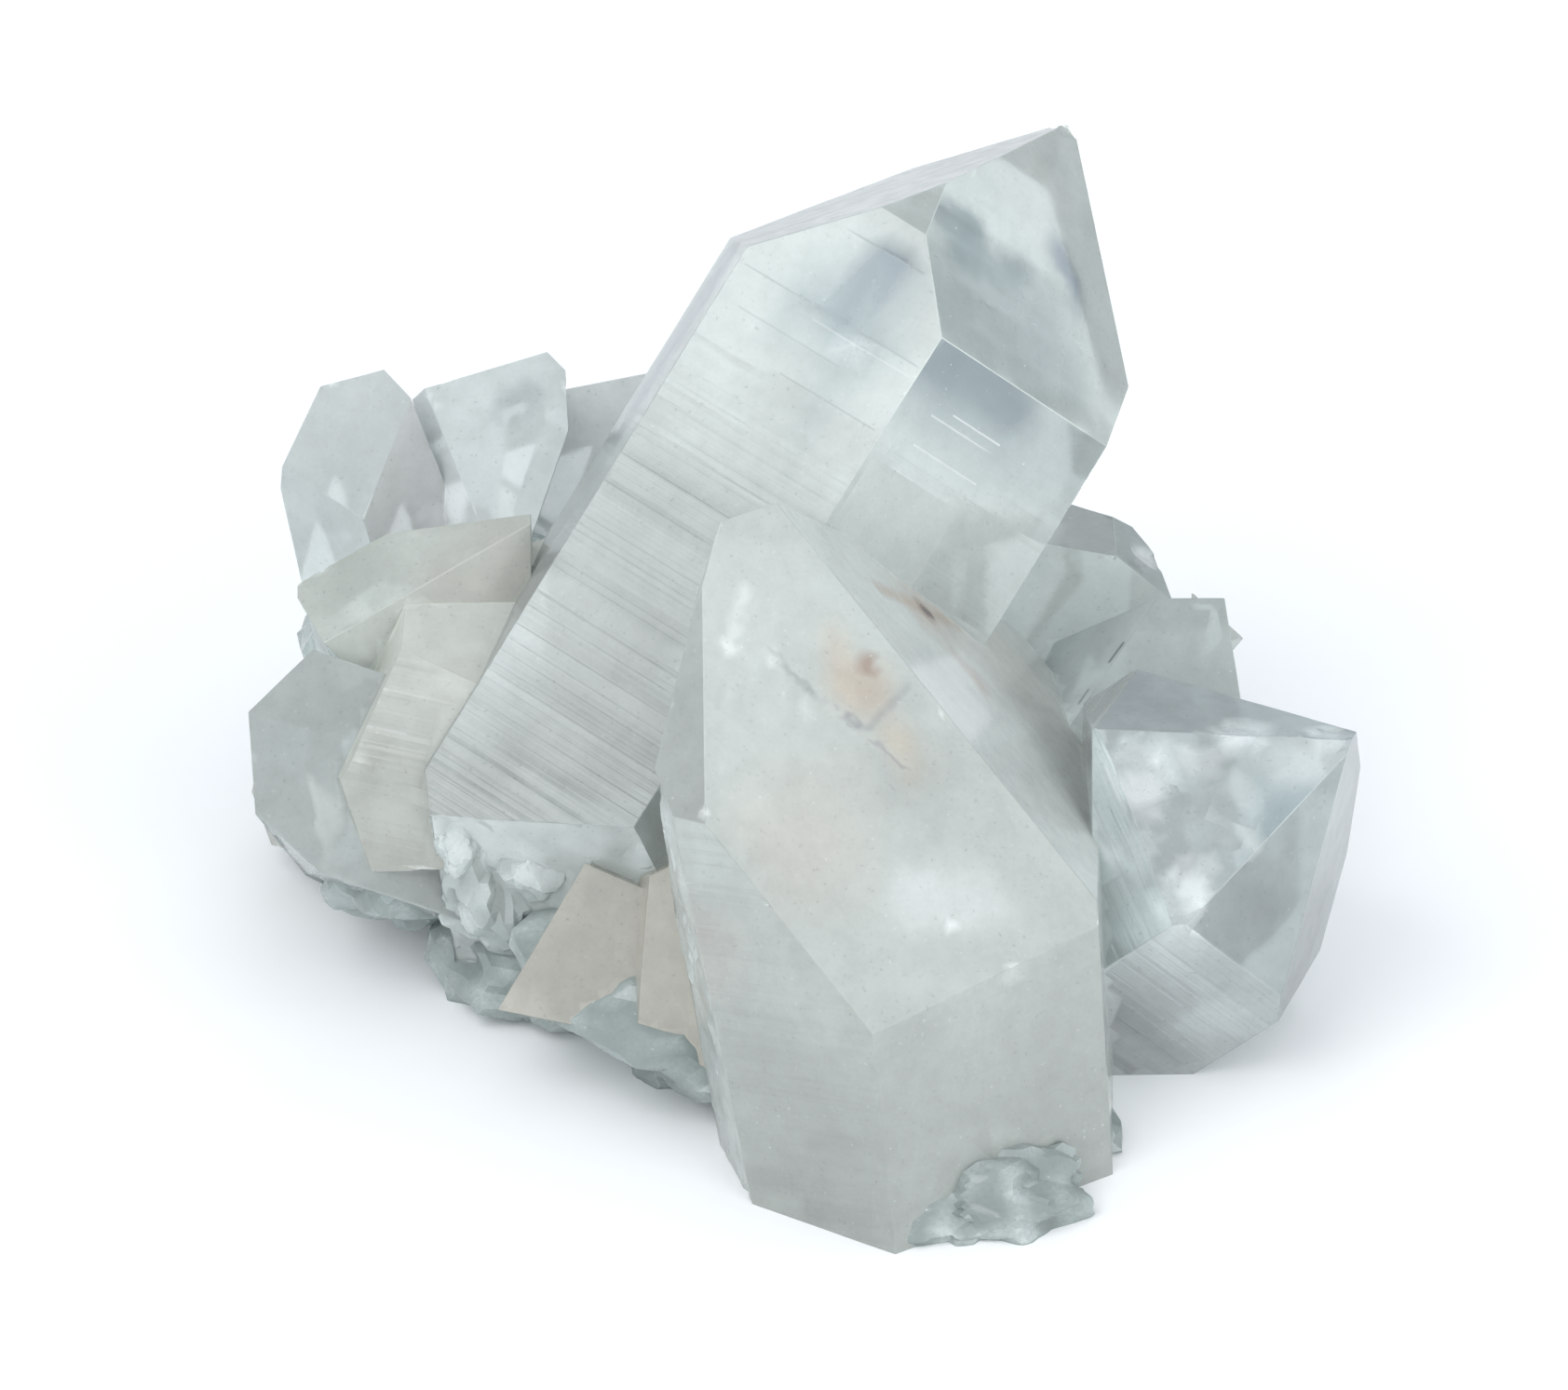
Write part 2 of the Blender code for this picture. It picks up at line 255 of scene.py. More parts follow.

# Broad clouds and stains inside the crystals, with painted reflections and painted highlights among
# them:
# crystal, face or None for all, two ends of its middle line, inner and outer radius, colour and
# strength.
CLOUDS_AND_PAINTED_LIGHT = (
    # Painted reflection: the tall crystal's dark blue-grey patches, the dark room seen in its top; its
    # pale one is a cloud.
    ("tall_leaning", 2, (14.3, 10.7, 62.0), (19.0, 13.5, 57.2), 1.0, 6.5, (0.08, 0.11, 0.145), 0.85),
    ("tall_leaning", 2, (13.0, 10.0, 60.0), (25.0, 17.0, 50.0), 1.0, 9.0, (0.30, 0.36, 0.38), 0.5),
    ("tall_leaning", 1, (8.2, 14.8, 67.0), (5.5, 13.6, 65.8), 1.8, 5.5, (0.13, 0.20, 0.27), 0.85),
    ("tall_leaning", 1, (2.4, 14.8, 64.3), (6.0, 11.8, 62.0), 1.2, 6.0, (0.36, 0.44, 0.46), 0.6),
    ("tall_leaning", 8, (9.8, 19.4, 72.1), (15.9, 20.2, 68.2), 0.5, 3.0, (0.20, 0.26, 0.28), 0.7),
    ("tall_leaning", 8, (15.9, 20.2, 68.2), (20.4, 22.8, 63.5), 0.5, 3.2, (0.20, 0.26, 0.28), 0.7),
    ("tall_leaning", 8, (14.0, 14.5, 66.5), (22.0, 20.0, 58.5), 2.0, 9.0, (0.34, 0.40, 0.41), 0.7),
    ("tall_leaning", 8, (23.9, 28.0, 62.4), (25.0, 27.5, 60.4), 0.5, 3.0, (0.14, 0.19, 0.27), 0.7),
    ("tall_leaning", 8, (22.2, 30.2, 66.6), (22.2, 30.2, 66.6), 1.0, 6.0, (0.95, 0.97, 0.95), 0.35),
    ("tall_leaning", 0, (-4.2, 25.4, 65.4), (-13.1, 19.1, 52.7), 0.5, 5.0, (0.22, 0.27, 0.34), 0.6),
    ("big_front", 8, (12.1, 4.7, 40.7), (12.1, 4.7, 40.7), 1.0, 6.5, (0.60, 0.48, 0.40), 0.5),
    ("big_front", 8, (16.4, 0.7, 36.4), (16.4, 0.7, 36.4), 0.5, 4.0, (0.56, 0.44, 0.36), 0.5),
    ("big_front", 8, (13.9, -3.8, 39.8), (13.9, -3.8, 39.8), 0.5, 3.0, (0.90, 0.92, 0.92), 0.4),
    ("big_front", 8, (19.8, 11.1, 31.1), (19.8, 11.1, 31.1), 2.0, 13.0, (0.68, 0.62, 0.56), 0.45),
    ("big_front", 7, (6.4, -14.6, 45.0), (6.4, -14.6, 45.0), 1.0, 5.0, (0.70, 0.55, 0.41), 0.55),
    ("big_front", 7, (9.9, -17.9, 40.5), (9.9, -17.9, 40.5), 0.6, 4.0, (0.82, 0.69, 0.53), 0.5),
    ("big_front", 7, (1.4, -26.6, 36.7), (1.4, -26.6, 36.7), 2.0, 9.0, (0.76, 0.70, 0.62), 0.4),
    ("big_front", 7, (16.1, -25.8, 30.8), (11.0, -26.5, 31.0), 1.0, 4.5, (0.92, 0.95, 0.95), 0.55),
    ("big_front", 0, (-7.9, -25.9, 27.2), (-7.9, -25.9, 27.2), 2.0, 8.0, (0.74, 0.67, 0.61), 0.4),
    # Painted highlights: the right crystal's white patches are glints over its chip scars.
    ("right", 6, (30.4, -8.7, 30.7), (30.2, -9.3, 30.2), 1.7, 2.5, (0.92, 0.98, 0.99), 1.0),
    ("right", 6, (39.0, -5.3, 34.1), (35.5, -7.2, 32.3), 0.9, 1.4, (0.92, 0.98, 0.99), 1.0),
    ("right", 6, (44.7, -6.0, 33.8), (43.5, -7.0, 32.8), 1.0, 4.0, (0.92, 0.98, 0.99), 0.7),
    ("right", 6, (33.6, -15.9, 24.7), (34.6, -14.9, 25.6), 1.2, 1.9, (0.92, 0.98, 0.99), 1.0),
    ("right", 6, (40.3, -12.6, 27.8), (38.5, -14.6, 25.4), 0.5, 1.1, (0.92, 0.98, 0.99), 1.0),
    ("right", 6, (43.0, -9.3, 30.0), (42.0, -10.3, 29.0), 1.5, 4.0, (0.38, 0.48, 0.52), 0.6),
    ("behind_right", None, (33.3, 37.2, 27.9), (33.3, 37.2, 27.9), 0.8, 2.4, (0.93, 0.95, 0.95), 0.6),
    ("behind_right", None, (32.1, 34.9, 28.5), (32.1, 34.9, 28.5), 0.3, 1.2, (0.25, 0.30, 0.30), 0.6),
    ("back_broad", None, (-22.7, 35.2, 46.3), (-24.7, 33.0, 44.2), 0.3, 2.2, (0.48, 0.54, 0.56), 0.5),
    ("back_left", None, (-33.0, 28.5, 38.4), (-33.0, 28.5, 38.4), 0.5, 2.0, (0.96, 0.98, 0.98), 0.5),
    ("left_white", None, (-24.4, 11.4, 41.2), (-29.9, 5.3, 37.2), 1.0, 7.0, (0.74, 0.67, 0.61), 0.45),
)


class Scar:
    """Shallow scoop left by a chip: middle, radius, depth, and how frosty it is."""

    def __init__(self, middle, radius, depth, frost):
        self.middle = Vector(middle)
        self.radius = radius
        self.depth = depth
        self.frost = frost


SCARS = {
    "right": (
        Scar((35.5, -10.9, 29.1), 5.0, 0.35, 0.08),
        Scar((30.6, -7.4, 31.9), 3.2, 0.3, 0.3),
        Scar((38.8, -4.8, 34.3), 2.6, 0.25, 0.3),
        Scar((33.5, -16.2, 24.4), 2.6, 0.3, 0.3),
        Scar((29.4, -12.5, 27.5), 2.4, 0.25, 0.25),
        Scar((46.5, -5.3, 33.8), 2.0, 0.2, 0.2),
    ),
    "big_front": (
        Scar((-4.6, -16.2, 48.6), 1.0, 0.2, 0.2),
        Scar((-1.0, -15.4, 47.5), 0.7, 0.15, 0.3),
        Scar((1.5, -18.2, 44.0), 0.5, 0.15, 0.3),
        Scar((6.6, -21.1, 39.2), 0.4, 0.2, 0.6),
        Scar((14.0, -28.2, 29.7), 0.4, 0.2, 0.6),
        Scar((19.0, -29.8, 25.5), 0.9, 0.15, 0.2),
    ),
    "tall_leaning": (
        Scar((25.4, 41.0, 70.0), 1.6, 0.5, 0.2),
        Scar((6.0, 11.8, 62.5), 0.7, 0.2, 0.4),
    ),
    "behind_right": (Scar((33.3, 37.2, 27.9), 1.6, 0.3, 0.3),),
}

# Striped side faces: crystal, face number, stripes per millimetre low down and near the top, depth.
STRIPED = {
    ("tall_leaning", 0): (0.3, 0.2, 0.015),
    ("tall_leaning", 1): (0.45, 0.3, 0.016),
    ("tall_leaning", 2): (0.2, 0.1, 0.010),
    ("tall_leaning", 3): (0.8, 0.4, 0.04),
    ("tall_leaning", 4): (0.8, 0.4, 0.04),
    ("tall_leaning", 5): (0.6, 0.3, 0.04),
    ("big_front", 0): (0.4, 0.3, 0.012),
    ("big_front", 1): (0.15, 0.15, 0.008),
    ("big_front", 2): (0.7, 0.4, 0.03),
    ("big_front", 3): (0.7, 0.4, 0.03),
    ("big_front", 4): (0.7, 0.4, 0.03),
    ("big_front", 5): (0.7, 0.4, 0.03),
    ("right", 0): (0.6, 0.5, 0.016),
    ("right", 1): (0.4, 0.3, 0.012),
    ("right", 2): (0.7, 0.5, 0.03),
    ("right", 4): (0.7, 0.5, 0.03),
    ("right", 5): (0.6, 0.5, 0.016),
    ("left_striped", 0): (0.6, 0.5, 0.016),
    ("left_striped", 4): (0.4, 0.3, 0.012),
}
# How strongly the lines show in colour, and how far below the tip they begin, where not at the top.
STRIPE_COLOUR = {
    ("tall_leaning", 0): 0.4,
    ("tall_leaning", 2): 0.15,
    ("big_front", 0): 0.35,
    ("big_front", 1): 0.12,
    ("left_striped", 0): 0.5,
    ("left_striped", 4): 0.3,
}
STRIPES_BEGIN = {("tall_leaning", 1): 42.4}

# Single growth lines: crystal and face, two ends, depth, width, colour and strength.
DARK_LINE = (0.38, 0.43, 0.44)
PALE_LINE = (0.93, 0.95, 0.95)
LINES = (
    ("tall_leaning", 1, (-3.0, 19.1, 66.8), (11.3, 9.1, 61.7), 0.020, 0.11, DARK_LINE, 0.4),
    ("tall_leaning", 1, (2.0, 14.5, 64.0), (10.5, 9.0, 61.2), 0.015, 0.10, PALE_LINE, 0.3),
    ("tall_leaning", 1, (-4.2, 16.8, 63.6), (5.2, 11.0, 61.1), 0.018, 0.10, DARK_LINE, 0.3),
    ("tall_leaning", 1, (-0.6, 12.2, 59.8), (7.9, 6.6, 57.2), 0.018, 0.10, DARK_LINE, 0.35),
    ("tall_leaning", 1, (5.8, 18.3, 70.0), (11.9, 14.5, 68.3), 0.025, 0.14, DARK_LINE, 0.55),
    ("tall_leaning", 2, (12.8, 9.3, 57.0), (17.6, 12.1, 52.2), 0.018, 0.09, PALE_LINE, 0.5),
    ("tall_leaning", 2, (14.6, 10.5, 56.4), (18.5, 12.7, 52.6), 0.018, 0.09, PALE_LINE, 0.6),
    ("tall_leaning", 2, (11.2, 8.1, 54.6), (16.4, 11.1, 49.9), 0.018, 0.09, PALE_LINE, 0.5),
    ("tall_leaning", 2, (9.0, 6.5, 53.8), (11.1, 7.7, 51.5), 0.018, 0.09, PALE_LINE, 0.4),
    ("left_striped", 1, (-33.3, 4.1, 36.9), (-27.0, 1.8, 34.9), 0.025, 0.20, PALE_LINE, 0.7),
    ("left_striped", 0, (-37.7, -0.4, 28.1), (-32.1, -2.2, 26.1), 0.025, 0.20, PALE_LINE, 0.7),
    ("left_striped", 0, (-36.2, 1.5, 31.6), (-32.5, 0.3, 30.4), 0.015, 0.14, PALE_LINE, 0.4),
)
# Narrow faces whose edges are not chipped.
UNCHIPPED = {("tall_leaning", 6), ("tall_leaning", 7), ("tall_leaning", 0), ("right", 8), ("right", 11)}

# Own long axis of the striped stub, for its stripes.
STUB_AXES = {"left_striped": (65.0, 62.0)}

# Faces that are broken and granular instead of smooth.
BROKEN = {("tall_leaning", 13), ("big_front", 13), ("big_front", 14), ("left_low", 3), ("left_low", 4)}


def raw_block(centre, planes):
    """Closed block of what lies inside all the planes."""
    bm = bmesh.new()
    bmesh.ops.create_cube(bm, size=RAW_BLOCK)
    bmesh.ops.translate(bm, verts=bm.verts, vec=Vector(centre))
    for point, normal in planes:
        bmesh.ops.bisect_plane(
            bm,
            geom=bm.verts[:] + bm.edges[:] + bm.faces[:],
            dist=SAME_CORNER,
            plane_co=point,
            plane_no=normal,
            clear_outer=True,
        )
        rim = [edge for edge in bm.edges if edge.is_boundary]
        if rim:
            bmesh.ops.contextual_create(bm, geom=rim)
    bmesh.ops.recalc_face_normals(bm, faces=bm.faces)
    return bm


def label_faces(bm, planes, layer):
    """Write the number of the plane that each face lies in, or -1 for a worn edge."""
    for face in bm.faces:
        face[layer] = -1
        middle = face.calc_center_median()
        for number, (point, normal) in enumerate(planes):
            if face.normal.dot(normal) > SAME_WAY and abs((middle - point).dot(normal)) < IN_PLANE:
                face[layer] = number
                break


def slice_face(bm, layer, number, point, normal):
    """Divide the mesh faces of one crystal face along a plane, and keep both sides."""
    faces = [face for face in bm.faces if face[layer] == number]
    # Each edge and corner once, in the order of the faces, so that every run gives the same mesh.
    edges = list(dict.fromkeys(edge for face in faces for edge in face.edges))
    verts = list(dict.fromkeys(vertex for face in faces for vertex in face.verts))
    if faces:
        bmesh.ops.bisect_plane(
            bm, geom=faces + edges + verts, dist=SLICE_SNAP, plane_co=point, plane_no=normal)


def extent(bm, layer, number, way):
    """Least and greatest distance along a direction of one crystal face."""
    values = [v.co.dot(way) for face in bm.faces if face[layer] == number for v in face.verts]
    return (min(values), max(values)) if values else (0.0, 0.0)


def stripe_bands(rng, low, high, per_mm_low, per_mm_high, depth, side_low, side_high):
    """Growth lines across a side face.

    Each has its place and width along the crystal, depth, middle and half length, and no own colour.
    """
    bands = []
    place = low
    while place < high:
        share = (place - low) / max(high - low, 1.0)
        density = per_mm_low + (per_mm_high - per_mm_low) * share
        # Lines come in crowded and in open patches.
        patch = 0.5 + 0.5 * noise.noise(Vector((place * 0.13, low, per_mm_low * 7.0)))
        density *= 0.35 + 1.6 * patch
        gap = rng.uniform(0.3, 1.7) / max(density, 0.1)
        width = min(rng.uniform(0.25, 1.3), gap * 0.75)
        half = rng.uniform(0.25, 1.1) * (side_high - side_low) / 1.6
        deep = depth * rng.uniform(0.25, 1.0)
        middle = rng.uniform(side_low, side_high)
        bands.append((place, width, deep, middle, half, None, 0.0))
        place += gap
    return bands


def plain_steps(low, high, spacing):
    """Even cuts between two places, without the two ends."""
    count = max(1, int((high - low) / spacing))
    return [low + (high - low) * (i + 1) / (count + 1) for i in range(count)]


def cloud_at(co):
    """Slow changes of whiteness inside the stone, about 0.5."""
    return 0.5 + 0.28 * noise.noise(co * 0.09) + 0.14 * noise.noise(co * 0.2)


def broken_relief(co, size, depth, seed):
    """Angular broken surface: each cell of a scatter of points is a small tilted flat."""
    spot = Vector(co) / size + Vector((seed, seed * 0.7, seed * 1.3))
    _, centres = noise.voronoi(spot)
    centre = centres[0]
    tilt = noise.noise_vector(centre * 7.31)
    return depth * (0.9 * (spot - centre).dot(tilt) * 2.0 + 0.6 * noise.noise(centre * 3.7))


def worked_crystal(name, centre, planes, axis, front=True):
    """Fine version of one crystal in millimetres, with worn edges, growth lines, scars and roughness."""
    bm = raw_block(centre, planes)
    bmesh.ops.bevel(
        bm, geom=bm.edges[:], offset=EDGE_WEAR, offset_type="OFFSET", segments=1, profile=0.5,
        affect="EDGES", clamp_overlap=True)
    bmesh.ops.remove_doubles(bm, verts=bm.verts, dist=WELD)
    bm.normal_update()
    layer = bm.faces.layers.int.new("plane")
    label_faces(bm, planes, layer)
    shown = sorted({face[layer] for face in bm.faces if face[layer] >= 0})
    grid = GRID if front else BACK_GRID
    axis = Vector(axis).normalized()
    bands = {}
    for number in shown:
        point, normal = planes[number]
        across = normal.cross(axis)
        if across.length < 0.05:
            across = normal.orthogonal()
        across.normalize()
        up = across.cross(normal).normalized()
        low, high = extent(bm, layer, number, axis)
        side_low, side_high = extent(bm, layer, number, across)
        stripes = STRIPED.get((name, number))
        if stripes:
            rng = random.Random(f"{name}{number}")
            begin = STRIPES_BEGIN.get((name, number))
            top = high if begin is None else Vector(centre).dot(axis) - begin
            lines = stripe_bands(rng, low, top, *stripes, side_low, side_high)
            for owner, face, start, finish, depth, width, colour, strength in LINES:
                if (owner, face) == (name, number):
                    middle = (Vector(start) + Vector(finish)) / 2.0
                    half = (Vector(start) - Vector(finish)).length / 2.0
                    place = middle.dot(axis) - width / 2.0
                    lines.append((place, width, depth, middle.dot(across), half, colour, strength))
            bands[number] = (across, lines)
            for place, width, *_ in lines:
                for cut in (place, place + LINE_SLOPE, place + width, place + width + LINE_SLOPE):
                    slice_face(bm, layer, number, axis * cut, axis)
            for cut in plain_steps(side_low, side_high, LINED_GRID):
                slice_face(bm, layer, number, across * cut, across)
        else:
            up_low, up_high = extent(bm, layer, number, up)
            for cut in plain_steps(up_low, up_high, grid):
                slice_face(bm, layer, number, up * cut, up)
            for cut in plain_steps(side_low, side_high, grid):
                slice_face(bm, layer, number, across * cut, across)
        if front:
            for other in shown:
                beside, outward = planes[other]
                if other != number and outward.dot(normal) > FAR_SIDE:
                    slice_face(bm, layer, number, beside - outward * EDGE_INSET, outward)
    bmesh.ops.triangulate(bm, faces=bm.faces[:])
    shape(bm, name, planes, shown, bands, axis, layer, Vector(centre))
    return bm


def shape(bm, name, planes, shown, bands, axis, layer, tip):
    """Move the corners of the fine mesh and write the values that the material reads."""
    along = bm.verts.layers.float.new("along")
    frost = bm.verts.layers.float.new("frost")
    tint = bm.loops.layers.float_color.new("tint")
    stripe = bm.verts.layers.float.new("stripe")
    cloud = bm.verts.layers.float.new("cloud")
    clear = bm.faces.layers.float.new("clear")
    zone = bm.faces.layers.float.new("zone")
    seed = sum(ord(letter) for letter in name) * 0.37
    scars = SCARS.get(name, ())
    offset = Vector((seed, -seed, seed * 0.5))
    for vertex in bm.verts:
        co = vertex.co.copy()
        place = co.dot(axis)
        vertex[along] = place + seed
        near = [(abs((co - planes[n][0]).dot(planes[n][1])), n) for n in shown]
        on = [n for gap, n in near if gap < ON_FACE]
        close = sorted(gap for gap, n in near)
        move = Vector()
        white = 0.0
        lined = 0.0
        for number in on:
            normal = planes[number][1]
            if (name, number) in STRIPED:
                begin = STRIPES_BEGIN.get((name, number))
                level = tip.dot(axis) - begin if begin else place + 1.0
                share = min(1.0, max(0.0, level - place + 0.5))
                lined = max(lined, STRIPE_COLOUR.get((name, number), 1.0) * share)
            height = 0.05 * noise.noise(co * 0.11 + offset) + 0.02 * noise.noise(co * 0.45 + offset)
            if number in bands:
                across, lines = bands[number]
                side = co.dot(across)
                for start, width, depth, middle, half, _, _ in lines:
                    if start + LINE_SLOPE / 2.0 < place < start + width + LINE_SLOPE / 2.0:
                        fade = min(1.0, max(0.0, (half - abs(side - middle)) / 3.0 + 0.5))
                        height -= depth * fade
            if (name, number) in BROKEN:
                relief = broken_relief(co, 3.5, 0.22, seed) + broken_relief(co, 1.2, 0.06, seed + 3.0)
                height += relief - 0.2
                white = max(white, 0.15 + 0.3 * noise.noise(co * 0.4 + offset))
            for scar in scars:
                reach = (co - scar.middle).length
                edge = scar.radius * (1.0 + 0.35 * noise.noise(co * 0.6 + offset))
                if reach < edge:
                    scoop = 1.0 - (reach / edge) ** 2
                    height -= scar.depth * min(1.0, scoop * 2.2) * (0.8 + 0.2 * math.sin(reach * 5.0))
                    white = max(white, scar.frost * min(1.0, scoop * 3.0))
            move += normal * height
        # Small chips bitten out of the worn edges.
        if len(close) > 1 and close[1] < CHIP_REACH and not any((name, n) in UNCHIPPED for n in on):
            bite = noise.noise(co * 0.9 + offset * 2.0) + 0.5 * noise.noise(co * 2.3 - offset)
            chip = max(0.0, bite - 0.65)
            if chip > 0.0:
                inward = Vector()
                for gap, n in near:
                    if gap < CHIP_REACH:
                        inward -= planes[n][1]
                fall = 1.0 - close[1] / CHIP_REACH
                move += inward.normalized() * min(CHIP_DEPTH, chip * 0.9) * fall
                white = max(white, min(0.7, chip * 3.0) * fall)
        vertex[frost] = white
        vertex[stripe] = lined
        vertex[cloud] = cloud_at(co)
        vertex.co = co + move
    marks = [mark for mark in CLOUDS_AND_PAINTED_LIGHT if mark[0] == name]
    for face in bm.faces:
        number = face[layer]
        # Painted light and shade: the face's own factor lightens or darkens its tint.
        face_light = FACE_LIGHT_AND_SHADE.get((name, number), 1.0)
        base = Vector([min(1.0, value * face_light) for value in TINTS.get(name, PALE)])
        face[clear] = CLEAR.get(name, USUAL_CLEAR)
        face[zone] = ZONES.get((name, number), 0)
        for corner in face.loops:
            corner[tint] = (*painted(base, corner.vert.co, number, marks, offset), 1.0)
        across, lines = bands.get(number, (None, ()))
        middle = face.calc_center_median()
        for start, width, _, side, half, colour, strength in lines:
            inside = start < middle.dot(axis) < start + width + LINE_SLOPE
            if colour and inside and abs(middle.dot(across) - side) < half:
                for corner in face.loops:
                    corner[tint] = (*Vector(corner[tint][:3]).lerp(Vector(colour), strength), 1.0)


def painted(base, co, number, marks, offset):
    """Colour of one corner: the crystal's own with its clouds, stains and painted light over it, whose
    outlines wander.
    """
    loose = co + 2.2 * noise.noise_vector(co * 0.22 + offset)
    loose += 0.5 * noise.noise_vector(co * 0.8 - offset)
    colour = Vector(base)
    for _, face, start, finish, core, end, mark, strength in marks:
        if face is not None and face != number:
            continue
        a = Vector(start)
        run = Vector(finish) - a
        share = 0.0
        if run.length > 0.0:
            share = min(1.0, max(0.0, (loose - a).dot(run) / run.length_squared))
        gap = (loose - a - run * share).length
        if gap < end:
            amount = min(1.0, (end - gap) / max(end - core, 0.01))
            amount *= amount * (3.0 - 2.0 * amount)
            colour = colour.lerp(Vector(mark), amount * strength)
    return colour


def crystal(name, tip, lean, heading, turn, prism, ends, length, skew=None, breaks=(), front=True):
    """Crystal with a whole tip, given by its measures, with broken flats where it has them."""
    planes = crystal_planes(tip, lean, heading, turn, prism, ends, length, skew or {})
    axis = crystal_axes(lean, heading, turn)[0]
    return worked_crystal(name, tip, planes + flats_about(tip, breaks), axis, front)


def stub(name, middle, flats, root):
    """Half-buried crystal, given flat by flat; the root flats are inside its neighbours."""
    axis = direction(*STUB_AXES.get(name, (100.0, 70.0)))
    return worked_crystal(name, middle, flats_about(middle, flats + root), axis)


def main_crystals():
    return [
        crystal(
            "tall_leaning",
            tip=(25.4, 41.0, 70.0), lean=41.7, heading=38.2, turn=144.0,
            prism=(20.9, 22.5, 18.4, 15.5, 20.0, 8.4), ends=(0.0, -7.5, -0.1, -0.2, 0.5, 0.0),
            length=100.0,
            skew={(0, 0): (-0.5, 0.2), (0, 1): (-0.8, 0.7), (1, 0): (0.6, 2.0), (1, 3): (0.6, 2.6)},
            breaks=((-105.0, -14.5, 68.0), (-177.0, -6.0, 62.5)),
        ),
        crystal(
            "big_front",
            tip=(-0.6, -7.1, 58.0), lean=9.6, heading=138.6, turn=102.4,
            prism=(20.5, 24.1, 23.7, 38.2, 20.0, 13.1), ends=(-2.4, 2.4, 0.8, -12.0, -0.9, -3.7),
            length=75.0,
            skew={
                (0, 0): (-2.4, 1.7), (0, 1): (1.8, 0.1), (0, 2): (-3.4, -3.0), (0, 5): (0.7, -2.0),
                (1, 0): (0.8, 2.2), (1, 1): (-1.0, -1.7), (1, 2): (0.5, -3.8), (1, 5): (3.7, -7.9),
            },
            breaks=((158.0, -2.0, 4.2), (-162.0, -7.0, 16.4)),
        ),
        crystal(
            "right",
            tip=(49.1, -4.8, 34.0), lean=48.3, heading=-12.6, turn=-128.9,
            prism=(12.8, 15.2, 15.8, 14.0, 14.0, 14.0), ends=(-0.8, -1.0, 0.3, -3.2, -0.2, 0.1),
            length=60.0,
            skew={
                (0, 0): (-1.1, 0.1), (1, 0): (1.3, -2.7), (1, 1): (0.6, 2.3), (1, 2): (0.9, 2.5),
                (1, 5): (-0.3, 2.5),
            },
            breaks=((180.0, 0.0, 22.8),),
        ),
    ]


def stubs():
    down = (0, -90)
    return [
        stub(
            "left_striped", (-33, 8, 29),
            flats=((-98, 30, 7.5), (-66, 65, 9), (168, 79, 10), (-168, 31, 5), (-103, 11, 9),
                   (-152, -9, 9), (-81, -65, 13.5), (93, 28, 18.5), (126, 35, 7.3)),
            root=((0, 0, 14), (90, -20, 20)),
        ),
        stub(
            "left_white", (-38, 17, 36),
            flats=((-126, 64, 5), (89, 28, 2), (121, 23, 0), (175, -19, 3), (-166, -39, 3),
                   (-76, 18, 9.9)),
            root=((0, 0, 16), (*down, 12)),
        ),
        stub(
            "left_low", (-42, 5, 24),
            flats=((-84, 21, 6), (135, 25, 4), (159, -11, 1), (-140, -33, 6), (-118, -49, 8),
                   (68, 42, 8.5)),
            root=((0, 10, 14), (80, -10, 18)),
        ),
        stub(
            "back_left", (-39, 36, 38),
            flats=((-115, 34, 7.5), (-56, 11, 9.5), (-126, -3, 7.5), (147, 10, 2.5), (96, 36, 4),
                   (39, 14, 3.5), (34, 4, 4.5), (170, -10, 5)),
            root=((90, -20, 9), (*down, 30)),
        ),
        stub(
            "back_broad", (-26, 41, 38),
            flats=((-90, 47, 10), (12, -8, 4), (113, 39, 3), (38, 24, 6), (1, -26, 3.5), (-141, 12, 10),
                   (167, -26, 2.5)),
            root=((85, -15, 7), (*down, 30)),
        ),
        stub(
            "back_blue", (-16, 48, 34),
            flats=((-82, 41, 8.5), (107, 36, 2), (12, -24, 1)),
            root=((180, 10, 9), (80, -20, 6), (*down, 26)),
        ),
        stub(
            "behind_right", (28, 37, 24),
            flats=((-74, 56, 6.5), (-3, 79, 6), (68, 34, 7.5), (23, 28, 7), (11, -8, 5.5), (-1, 60, 6)),
            root=((180, 0, 20), (-90, 0, 16), (100, -10, 9), (*down, 18)),
        ),
        stub(
            "right_step", (37, 24, 25),
            flats=((-82, 47, 7), (93, 36, 2.5), (20, -10, 0), (-174, 49, 8.5)),
            root=((180, 0, 14), (-90, 0, 16), (100, -10, 9), (*down, 18)),
        ),
        stub(
            "front_beige", (-16, -7, 15),
            flats=((-83, 36, 6.5), (43, 57, 6), (-14, 1, 6), (153, 17, 2.5), (-125, -68, 6)),
            root=((90, 0, 14),),
        ),
        stub(
            "front_thin", (-9, -12, 15),
            flats=((-97, 36, 5), (-172, 11, 4), (142, 55, 8.5), (-156, -59, 4.5)),
            root=((0, 0, 8), (90, 0, 12), (*down, 10)),
        ),
        stub(
            "side_bud", (38.8, 22, 28),
            flats=((-60, 50, 1.3), (30, 40, 1.5), (10, -40, 1.5), (-50, -20, 1.3), (100, 0, 2)),
            root=((180, 0, 2.5),),
        ),
    ]


